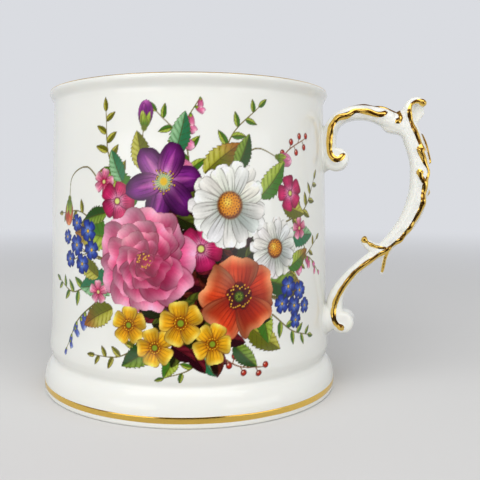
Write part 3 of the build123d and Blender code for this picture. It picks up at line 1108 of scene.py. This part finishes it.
# %% [markdown]
# ### Enamel on the cup
#
# The painted cells are wrapped round the wall as a film.  Thick touches stand higher than
# washes.  The colour and the thickness are stored at each point, where the material reads
# them: enamel is glass with pigment in it, so it is a little rougher than clear glaze.

# %% The enamel material
pigment_grain = 0.5 * MM  # coarser than the real grains, so that they show


def fired_enamel():
    """Overglaze enamel: ground coloured glass, brushed on and fired until it fuses."""
    material, tree = new_material("fired_enamel_colours")
    paint = add_node(tree, "Attribute", attribute_name="enamel")
    grain = mottle(tree, pigment_grain, 2.0)
    thick = add_node(
        tree, "Math", [(0, paint.outputs["Alpha"]), (1, grain)], operation="MULTIPLY"
    )
    washed = add_node(tree, "MapRange", [("Value", thick), ("To Min", 1.0), ("To Max", 0.8)])
    mottled = add_node(
        tree, "VectorMath", [(0, paint.outputs["Color"]), (1, washed)], operation="MULTIPLY"
    )
    roughness = add_node(
        tree, "MapRange",
        [("Value", paint.outputs["Alpha"]), ("To Min", 0.07), ("To Max", 0.20)],
    )
    bump = add_node(tree, "Bump", [("Height", thick), ("Strength", 0.35), ("Distance", 0.04 * MM)])
    glass = add_node(tree, "BsdfPrincipled", [
        ("Base Color", mottled),
        ("Roughness", roughness),
        ("IOR", 1.5),
        ("Normal", bump),
    ])
    return finish_material(material, glass)


enamel = fired_enamel()

# %% Wrapping the sheets round the cup
enamel_lift = (0.015, 0.05)  # mm above the glaze, for a wash and a full stroke
fired_depth = 1.22  # how much richer the enamels come out of the kiln
fired_shade = 1.12  # the power that darkens their greys


def wrap(name, painted):
    """Makes a sheet's painted cells a film on the cup, with a margin of one cell."""
    wet = painted.cover > bare
    cell = wet[:-1, :-1] | wet[1:, :-1] | wet[:-1, 1:] | wet[1:, 1:]
    row, column = np.nonzero(cell)
    width = len(painted.across)
    corners = np.stack(
        [row * width + column, row * width + column + 1,
         (row + 1) * width + column + 1, (row + 1) * width + column], 1,
    )
    used, faces = np.unique(corners, return_inverse=True)
    angle = (painted.turn + painted.across / foot_ogee[1][0])[used % width]
    height = painted.up[used // width]
    cover = painted.cover.ravel()[used]
    lift = enamel_lift[0] + (enamel_lift[1] - enamel_lift[0]) * cover
    radius = wall_radius(height) + lift
    points = np.column_stack([radius * np.cos(angle), radius * np.sin(angle), height])
    film = new_piece(name, points, faces.reshape(-1, 4).tolist(), enamel)
    shown = painted.colour.reshape(-1, 3)[used]
    grey = shown.mean(axis=1, keepdims=True)
    rich = np.clip(grey**fired_shade + (shown - grey) * fired_depth, 0, 1)
    shown = linear(shown + (rich - shown) * cover[:, None])
    layer = film.data.attributes.new("enamel", "FLOAT_COLOR", "POINT")
    layer.data.foreach_set("color", np.column_stack([shown, cover]).ravel())
    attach(film, "root")
    print(name, len(film.data.polygons), "faces")


wrap("front_enamel_flowers", front)
wrap("back_enamel_sprig", back)

# %% [markdown]
# ## The gold rings
#
# Banding is done on a wheel: the mug spins and the gilder holds a brush still against it.
# The line closes on itself but its edges breathe with the hand, by a tenth of a
# millimetre or so, and the film is thicker in the middle than at its edges.

# %% The gilt rim and foot band
ring_film = 0.06  # mm of gold above the glaze
film_bed = 0.02  # how deep a film sits in the glaze, so no gap shows
film_edge = 0.1  # width of the thin edge of the foot band
foot_band = (1.5, 3.3)  # heights of its edges
rim_band = (48, 150)  # degrees over the rolled lip, from the outside
lip_turn = 90  # degrees that a millimetre takes up on the lip
hand = 0.09  # how far an edge strays
wave_sum = 1.6  # about the most that the waves below add up to


def stray(turn, seed):
    """How far a banded edge strays at an angle round the mug: waves that close on themselves."""
    draw = np.random.default_rng(seed)
    waves = range(2, 23, 3)
    return hand * sum(
        draw.uniform(0.3, 1) / wave**0.5 * math.sin(wave * turn + draw.uniform(0, 6.28))
        for wave in waves
    ) / wave_sum


def foot_band_at(turn):
    """The section of the foot band: a low swelling between two straying edges."""
    low, high = foot_band[0] + stray(turn, 1), foot_band[1] + stray(turn, 2)
    bed, shoulder = foot_radius - film_bed, foot_radius + ring_film * 0.6
    return [
        (bed, low), (shoulder, low + film_edge), (foot_radius + ring_film, (low + high) / 2),
        (shoulder, high - film_edge), (bed, high),
    ]


def rim_band_at(turn):
    """The section of the gilt line: a film that follows the roll of the lip."""
    start = rim_band[0] + lip_turn * stray(turn, 3)
    top = corner(lip_centre, lip_roll + ring_film, start, rim_band[1], 9)
    bed = corner(lip_centre, lip_roll - film_bed, rim_band[1], start, 9)
    return np.vstack([top, bed])


for name, section, node in (
    ("foot_gold_band", foot_band_at, "foot_gilt_band"),
    ("rim_gold_line", rim_band_at, "rim_gilt_line"),
):
    band = spin(name, section, gold)
    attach(band, "root")
    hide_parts(node)
    print(name, len(band.data.polygons), "faces")

# %% [markdown]
# ## The cast handle
#
# The handle is cast in a plaster mould with its scrolls and mouldings in relief, stuck on
# with slip and dipped with the cup.  Glaze fills every corner and rounds every edge.  The
# same happens here: the plain bars and mouldings of the frame are joined, rebuilt as one
# fine skin of even cells, and relaxed a little, as surface tension does to the melt.  A
# collar of slip spreads from each pad on to the wall, so that no groove is left there.

# %% Slip collars
pads = ((73.0, 6.4, 3.1), (21.8, 4.1, 5.8))  # height, half height and half width
slip_spread = (  # distance from the wall, how far the slip spreads
    (-1.2, 0.9), (0.0, 0.9), (0.3, 0.5), (0.7, 0.2), (1.2, 0.0), (1.7, -0.4),
)
collar_sides = 48


def add_collar(together, height, half_height, half_width):
    """The slip squeezed out round a pad: an oval that flares on to the wall."""
    rings = []
    for distance, spread in slip_spread:
        ring = []
        for side in range(collar_sides):
            turn = 2 * math.pi * side / collar_sides
            y = (half_width + spread) * math.cos(turn)
            z = height + (half_height + spread) * math.sin(turn)
            x = math.sqrt(wall_radius(z) ** 2 - y * y) + distance
            ring.append(together.verts.new((x * MM, y * MM, z * MM)))
        rings.append(ring)
    together.faces.new(rings[0][::-1])
    together.faces.new(rings[-1])
    for low, high in zip(rings, rings[1:]):
        for side in range(collar_sides):
            after = (side + 1) % collar_sides
            together.faces.new((low[side], low[after], high[after], high[side]))


# %% Joining and glazing the casting
relief_cell = 0.2 * MM
glaze_passes = 6  # how far the melt rounds the edges
gilded_nodes = [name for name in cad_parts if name.endswith("_gilding")]


def joined_copy(name, nodes):
    """One new object with the faces of several nodes of the frame and the slip collars."""
    together = bmesh.new()
    for node in nodes:
        together.from_mesh(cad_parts[node].data)
    for pad in pads:
        add_collar(together, *pad)
    mesh = bpy.data.meshes.new(name)
    together.to_mesh(mesh)
    together.free()
    return new_object(name, mesh)


def applied(piece):
    """Turns a piece's modifiers into plain mesh."""
    graph = bpy.context.evaluated_depsgraph_get()
    mesh = bpy.data.meshes.new_from_object(piece.evaluated_get(graph))
    piece.modifiers.clear()
    piece.data = mesh


casting = joined_copy("handle_casting", ["handle", *gilded_nodes])
skin = casting.modifiers.new("glaze_skin", "REMESH")
skin.mode = "VOXEL"
skin.voxel_size = relief_cell
melt = casting.modifiers.new("glaze_melt", "SMOOTH")
melt.factor = 0.5
melt.iterations = glaze_passes
applied(casting)
casting.data.materials.clear()
casting.data.materials.append(china)
casting.data.shade_smooth()
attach(casting, "root")
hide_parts("handle")
print("handle:", len(casting.data.polygons), "faces")

# %% [markdown]
# ## Hand-tooled mouldings
#
# A mould is cut by hand with a flat tool, so its mouldings are low facets, not round
# wires, and they tilt this way and that every few millimetres.  Burnished gold shows this
# as a run of wholly bright and wholly dark patches.  Every point of the casting is
# measured from each moulding.  The near ones are relaxed further, which flattens the
# beads, and then pushed out or in by smooth noise along their normals.  The crests and
# the spurs are too thin to take a flat tool, so they stay round and move only a little.
# The lower scroll is one long sweep of the tool and wavers less than the rest.

# %% Reading a mesh and moving it
def read(items, what, width=3, kind=float):
    """One property of the items of a mesh, as an array of that width."""
    values = np.empty(len(items) * width, kind)
    items.foreach_get(what, values)
    return values.reshape(-1, width)


def moved(piece, points):
    """Moves the points of a piece, and reads them back with their normals."""
    piece.data.vertices.foreach_set("co", points.ravel())
    piece.data.update()
    return read(piece.data.vertices, "co"), read(piece.data.vertex_normals, "vector")


relief = read(casting.data.vertices, "co")
print("casting:", len(relief), "points")

# %% Measuring the casting
tool_width = 1.3 * MM  # from a moulding to where the tool leaves no mark
measured = 1.5 * MM  # further away than this doesn't matter


def distance_to(node, points):
    """How far each point lies from a node of the frame, up to the distance that matters."""
    solid = bmesh.new()
    solid.from_mesh(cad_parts[node].data)
    surface = BVHTree.FromBMesh(solid)
    solid.free()
    return np.array([surface.find_nearest(Vector(p), measured)[3] or measured for p in points])


reach = {name: distance_to(name, relief) for name in gilded_nodes}
fine_nodes = [name for name in gilded_nodes if "crest" in name or "spur" in name]
broad_nodes = [name for name in gilded_nodes if name not in fine_nodes]
tooled, fine = (
    np.clip(1 - np.min([reach[name] for name in nodes], axis=0) / tool_width, 0, 1)
    for nodes in (broad_nodes, fine_nodes)
)
tooled = tooled * (1 - fine)
print("tooled:", int((tooled > 0).sum()), "points")

# %% Tooling the relief
facet_passes = 50  # how far the round beads are flattened
facet_share = 0.5  # of the way to its neighbours, in each pass
tool_spacing = 5.0 * MM  # from one swelling of a facet to the next
tool_depth = 0.65 * MM
fine_depth = 0.15 * MM  # the same on the crests and spurs
tool_seed = 83  # which facets catch the light
sweep_share = 0.12  # of the depth, on the lower scroll
sweep_height = (34 * MM, 46 * MM)  # where the lower scroll gives way to the stem
wander_waves = 5


def wander(points, spacing, seed):
    """Smooth noise between -1 and 1: a few waves of that spacing, crossing."""
    draw = np.random.default_rng(seed)
    total = np.zeros(len(points))
    for wave in range(wander_waves):
        way = draw.normal(size=points.shape[1])
        way /= np.linalg.norm(way)
        step = 2 * math.pi / (spacing * draw.uniform(0.7, 1.6))
        total += np.sin(points @ way * step + draw.uniform(0, 2 * math.pi))
    return total / wander_waves


edges = read(casting.data.edges, "vertices", 2, int)
one, other = edges.T
joined = np.bincount(edges.ravel(), minlength=len(relief))[:, None]
for step in range(facet_passes):
    middle = np.zeros_like(relief)
    for axis in range(3):
        middle[:, axis] = np.bincount(one, relief[other, axis], len(relief))
        middle[:, axis] += np.bincount(other, relief[one, axis], len(relief))
    relief = relief + facet_share * tooled[:, None] * (middle / joined - relief)
relief, outward = moved(casting, relief)
sweep = np.interp(relief[:, 2], sweep_height, (sweep_share, 1))
depth = tool_depth * tooled * sweep + fine_depth * fine
push = depth * wander(relief, tool_spacing, tool_seed)
relief, outward = moved(casting, relief + outward * push[:, None])
casting.data.calc_loop_triangles()
relief_faces = read(casting.data.loop_triangles, "vertices", 3, int)
print("pushed out by up to", round(push.max() / MM, 2), "mm and in by", round(-push.min() / MM, 2))

# %% [markdown]
# ## Gilding the mouldings
#
# The gilder drags a loaded brush along each raised moulding, so the gold follows the
# relief and ends in a slightly uneven line.  Here each gilt piece is lifted off the
# casting itself: every point of the casting knows how far it is from the moulding, and
# the faces nearer than the brush reaches are cut out along that line and raised by the
# thickness of the film.

# %% Cutting the gold out of the relief
brush_reach = 0.12 * MM  # past the moulding
brush_wander = 0.10 * MM
brush_spacing = 3.0 * MM  # from one wander of the brush to the next
film_lift = 0.03 * MM
overlap = 0.001 * MM  # of neighbours, past the line halfway between them


def clipped(points, triangles, field):
    """The part of a triangle mesh where the field is positive, cut exactly on zero."""
    faces = []
    added = {}
    points = list(map(tuple, points))

    def crossing(a, b):
        key = (min(a, b), max(a, b))
        if key not in added:
            share = field[a] / (field[a] - field[b])
            added[key] = len(points)
            points.append(tuple(
                p + (q - p) * share for p, q in zip(points[a], points[b])
            ))
        return added[key]

    for triangle in triangles:
        kept = []
        for a, b in zip(triangle, (triangle[1], triangle[2], triangle[0])):
            if field[a] > 0:
                kept.append(a)
            if (field[a] > 0) != (field[b] > 0):
                kept.append(crossing(a, b))
        if len(kept) > 2:
            faces.append(kept)
    return points, faces


# %% The gilt pieces
for name in gilded_nodes:
    others = np.min([reach[node] for node in gilded_nodes if node != name], axis=0)
    edge = brush_reach + brush_wander * wander(relief, brush_spacing, seed=len(name))
    field = np.minimum(edge - reach[name], (others - reach[name]) / 2 + overlap)
    near = (field[relief_faces] > 0).any(axis=1)
    lifted = relief + outward * film_lift
    points, faces = clipped(lifted, relief_faces[near].tolist(), field)
    gilt = new_piece(name.replace("gilding", "gold"), np.array(points) / MM, faces, gold)
    with open_mesh(gilt) as mesh:
        loose = [point for point in mesh.verts if not point.link_faces]
        bmesh.ops.delete(mesh, geom=loose, context="VERTS")
    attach(gilt, "root")
    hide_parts(name)
    print(gilt.name, len(gilt.data.polygons), "faces")

# %% [markdown]
# ## The pieces of the frame
#
# The soap shelf is shown as the frame gives it: its plain solid already has every edge
# that can be seen, and only needs its glaze.  The other pieces of the frame are hidden,
# as something finer replaces them, but they get their glaze or gold all the same.

# %% Glaze and gold on the frame
for name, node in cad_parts.items():
    node.data.materials.clear()
    node.data.materials.append(gold if "gil" in name else china)
print("soap shelf:", len(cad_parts["soap_shelf"].data.polygons), "faces")
